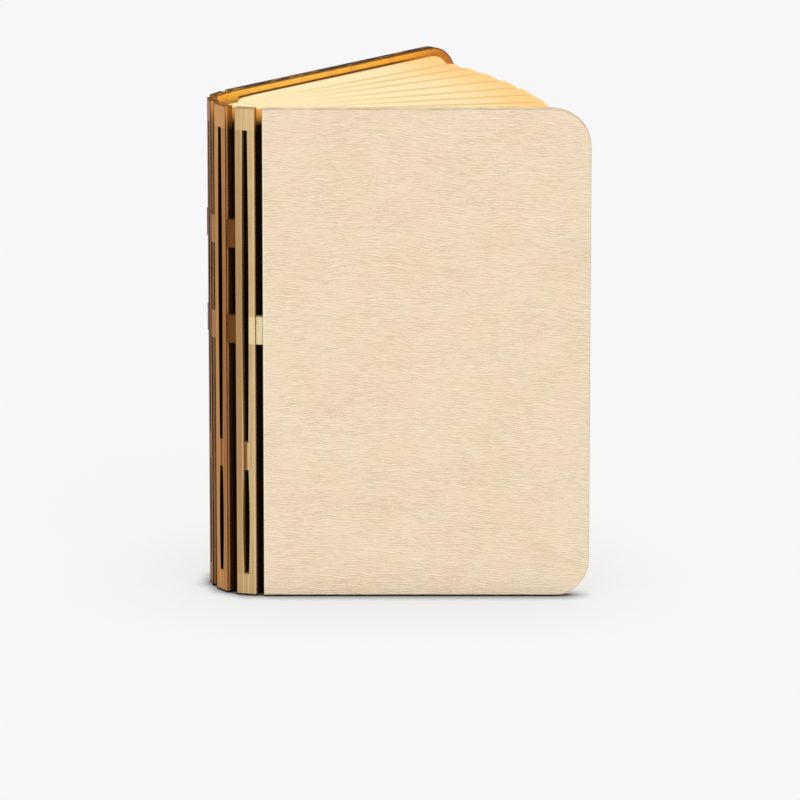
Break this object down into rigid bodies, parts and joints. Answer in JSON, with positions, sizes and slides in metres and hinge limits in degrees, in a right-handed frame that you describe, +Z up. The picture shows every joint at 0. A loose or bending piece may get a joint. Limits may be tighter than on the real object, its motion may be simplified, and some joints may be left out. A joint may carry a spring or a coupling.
{
  "type": "folding book lamp",
  "caption": "Lit lamp shaped like a book: two thin plywood covers on a slotted plywood spine that bends, with a fan of folded paper leaves round a light bar between them.",
  "frame": {"origin": "middle of the front cover's bottom edge, at mid thickness of the board, on the surface the lamp stands on", "axes": "+X from the spine to the front cover's free edge, +Y from the front cover towards the back cover, +Z up"},
  "size_m": [0.1643, 0.1399, 0.215],
  "materials": {
    "cover_plywood": "matte, fine straight grain, lightly singed along its cut edges",
    "spine_plywood": "matte, warm brown, dark cut edges",
    "spine_cloth": "black book cloth",
    "end_paper": "matte paper",
    "page_paper": "tough white paper, lit warm from inside",
    "core_plastic": "moulded, fine texture",
    "diffuser_plastic": "milky, translucent",
    "circuit_white": "white lacquer",
    "circuit_green": "green lacquer",
    "diode": "yellow phosphor",
    "cell_foil": "crimped foil pouch",
    "socket_metal": "formed sheet",
    "sensor_case": "black epoxy",
    "lead_cover": "red insulation",
    "magnet_plating": "nickel plated",
    "screw_metal": "zinc plated"
  },
  "bodies": {
    "front_cover": {"front_board": "cover_plywood", "front_cloth_flap": "spine_cloth", "front_end_sheet": "end_paper", "front_magnets": "magnet_plating"},
    "back_cover": {"back_board": "cover_plywood", "back_cloth_flap": "spine_cloth", "back_end_sheet": "end_paper", "back_magnets": "magnet_plating", "switch_magnet": "magnet_plating"},
    "loop_1": {"spine_loop_1": "spine_plywood", "spine_cloth_1": "spine_cloth"},
    "loop_2": {"spine_loop_2": "spine_plywood", "spine_cloth_2": "spine_cloth"},
    "loop_3": {"spine_loop_3": "spine_plywood", "spine_cloth_3": "spine_cloth"},
    "loop_4": {"spine_loop_4": "spine_plywood", "spine_cloth_4": "spine_cloth"},
    "core": {"core_tray": "core_plastic", "core_diffuser": "diffuser_plastic", "core_top_cap": "core_plastic", "core_bottom_cap": "core_plastic", "cap_screws": "screw_metal", "led_board": "circuit_white", "led_chips": "diode", "battery_cells": "cell_foil", "charge_board": "circuit_green", "charge_socket": "socket_metal", "cover_sensor": "sensor_case", "cell_leads": "lead_cover", "led_leads": "lead_cover"},
    "page_1": {"leaf_1": "page_paper"},
    "page_2": {"leaf_2": "page_paper"},
    "page_3": {"leaf_3": "page_paper"},
    "page_4": {"leaf_4": "page_paper"},
    "page_5": {"leaf_5": "page_paper"},
    "page_6": {"leaf_6": "page_paper"},
    "page_7": {"leaf_7": "page_paper"},
    "page_8": {"leaf_8": "page_paper"}
  },
  "joints": [
    {"name": "middle_fold_front", "type": "hinge", "parent": "core", "child": "loop_2", "pos_m": [-0.09011, 0.01257, 0], "axis": [0, 0, 1], "range_deg": [-54.17, 7.94]},
    {"name": "spine_fold_2", "type": "hinge", "parent": "loop_2", "child": "loop_1", "pos_m": [-0.08311, 0.00282, 0], "axis": [0, 0, 1], "range_deg": [-122.72, 17.98]},
    {"name": "spine_fold_1", "type": "hinge", "parent": "loop_1", "child": "front_cover", "pos_m": [-0.07145, 0, 0], "axis": [0, 0, 1], "range_deg": [-2.92, 19.89]},
    {"name": "middle_fold_back", "type": "hinge", "parent": "core", "child": "loop_3", "pos_m": [-0.09011, 0.01257, 0], "axis": [0, 0, 1], "range_deg": [-7.94, 54.17]},
    {"name": "spine_fold_4", "type": "hinge", "parent": "loop_3", "child": "loop_4", "pos_m": [-0.09226, 0.02438, 0], "axis": [0, 0, 1], "range_deg": [-17.98, 122.72]},
    {"name": "spine_fold_5", "type": "hinge", "parent": "loop_4", "child": "back_cover", "pos_m": [-0.08619, 0.03473, 0], "axis": [0, 0, 1], "range_deg": [-19.89, 2.92]},
    {"name": "leaf_turn_1", "type": "hinge", "parent": "core", "child": "page_1", "pos_m": [-0.07896, 0.00792, 0], "axis": [0, 0, 1], "range_deg": [-125.6, 18.4]},
    {"name": "leaf_turn_2", "type": "hinge", "parent": "core", "child": "page_2", "pos_m": [-0.07713, 0.01049, 0], "axis": [0, 0, 1], "range_deg": [-94.2, 13.8]},
    {"name": "leaf_turn_3", "type": "hinge", "parent": "core", "child": "page_3", "pos_m": [-0.07626, 0.01351, 0], "axis": [0, 0, 1], "range_deg": [-56.52, 8.28]},
    {"name": "leaf_turn_4", "type": "hinge", "parent": "core", "child": "page_4", "pos_m": [-0.07645, 0.01666, 0], "axis": [0, 0, 1], "range_deg": [-18.84, 2.76]},
    {"name": "leaf_turn_5", "type": "hinge", "parent": "core", "child": "page_5", "pos_m": [-0.07769, 0.01956, 0], "axis": [0, 0, 1], "range_deg": [-3.45, 23.55]},
    {"name": "leaf_turn_6", "type": "hinge", "parent": "core", "child": "page_6", "pos_m": [-0.07981, 0.02188, 0], "axis": [0, 0, 1], "range_deg": [-9.66, 65.94]},
    {"name": "leaf_turn_7", "type": "hinge", "parent": "core", "child": "page_7", "pos_m": [-0.08259, 0.02336, 0], "axis": [0, 0, 1], "range_deg": [-14.26, 97.34]},
    {"name": "leaf_turn_8", "type": "hinge", "parent": "core", "child": "page_8", "pos_m": [-0.08571, 0.02383, 0], "axis": [0, 0, 1], "range_deg": [-18.4, 125.6]}
  ],
  "couplings": [
    {"joint": "middle_fold_front", "follows": "spine_fold_4", "ratio": -0.44136},
    {"joint": "spine_fold_2", "follows": "spine_fold_4", "ratio": -1},
    {"joint": "spine_fold_1", "follows": "spine_fold_4", "ratio": 0.16205},
    {"joint": "middle_fold_back", "follows": "spine_fold_4", "ratio": 0.44136},
    {"joint": "spine_fold_5", "follows": "spine_fold_4", "ratio": -0.16205},
    {"joint": "leaf_turn_1", "follows": "spine_fold_4", "ratio": -1.0235},
    {"joint": "leaf_turn_2", "follows": "spine_fold_4", "ratio": -0.76759},
    {"joint": "leaf_turn_3", "follows": "spine_fold_4", "ratio": -0.46055},
    {"joint": "leaf_turn_4", "follows": "spine_fold_4", "ratio": -0.15352},
    {"joint": "leaf_turn_5", "follows": "spine_fold_4", "ratio": 0.1919},
    {"joint": "leaf_turn_6", "follows": "spine_fold_4", "ratio": 0.53731},
    {"joint": "leaf_turn_7", "follows": "spine_fold_4", "ratio": 0.79318},
    {"joint": "leaf_turn_8", "follows": "spine_fold_4", "ratio": 1.0235}
  ]
}
